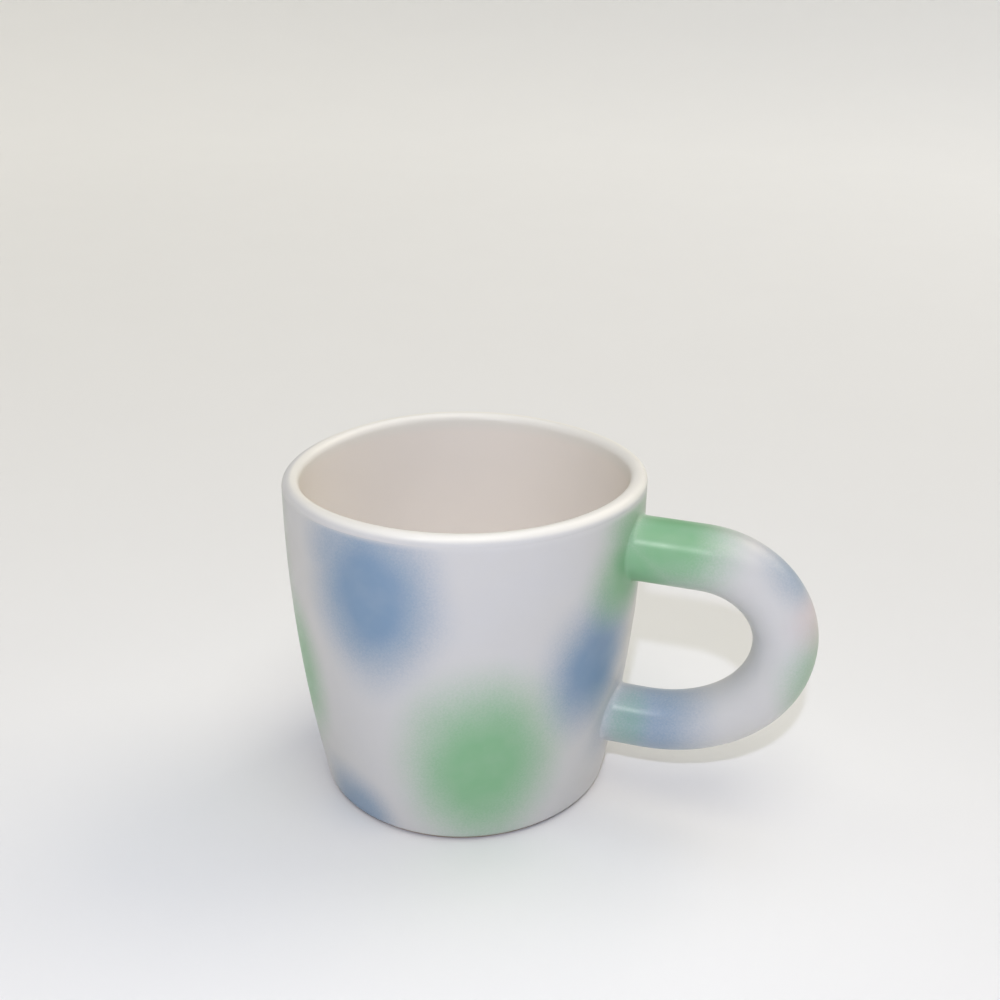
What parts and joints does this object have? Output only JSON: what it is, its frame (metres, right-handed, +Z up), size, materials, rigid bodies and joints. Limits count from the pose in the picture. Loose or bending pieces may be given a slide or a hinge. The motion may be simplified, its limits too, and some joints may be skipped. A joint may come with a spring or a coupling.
{
  "type": "mug",
  "caption": "Stoneware drinking mug with a full-round lip, a softly bowed tapering wall, a flat bare foot and one thick round D-shaped handle.",
  "frame": {"origin": "centre of the flat bare foot, on the surface that the mug stands on", "axes": "+Z up through the mouth, +X from the cup's axis out through the middle of the handle, +Y to the left of the handle"},
  "size_m": [0.132, 0.0884, 0.0827],
  "materials": {
    "bare_clay": "unglazed fired stoneware, dry and slightly sandy",
    "joint_slip": "fired slip, sponged smooth",
    "outer_glaze": "satin white glaze with soft sprayed patches of blue and green underglaze",
    "liner_glaze": "glossy warm white glaze, pooled cream on the lip"
  },
  "bodies": {
    "root": {"cup_body": "bare_clay", "handle": "bare_clay", "upper_joint_slip": "joint_slip", "lower_joint_slip": "joint_slip", "outer_glaze": "outer_glaze", "liner_glaze": "liner_glaze"}
  },
  "joints": []
}
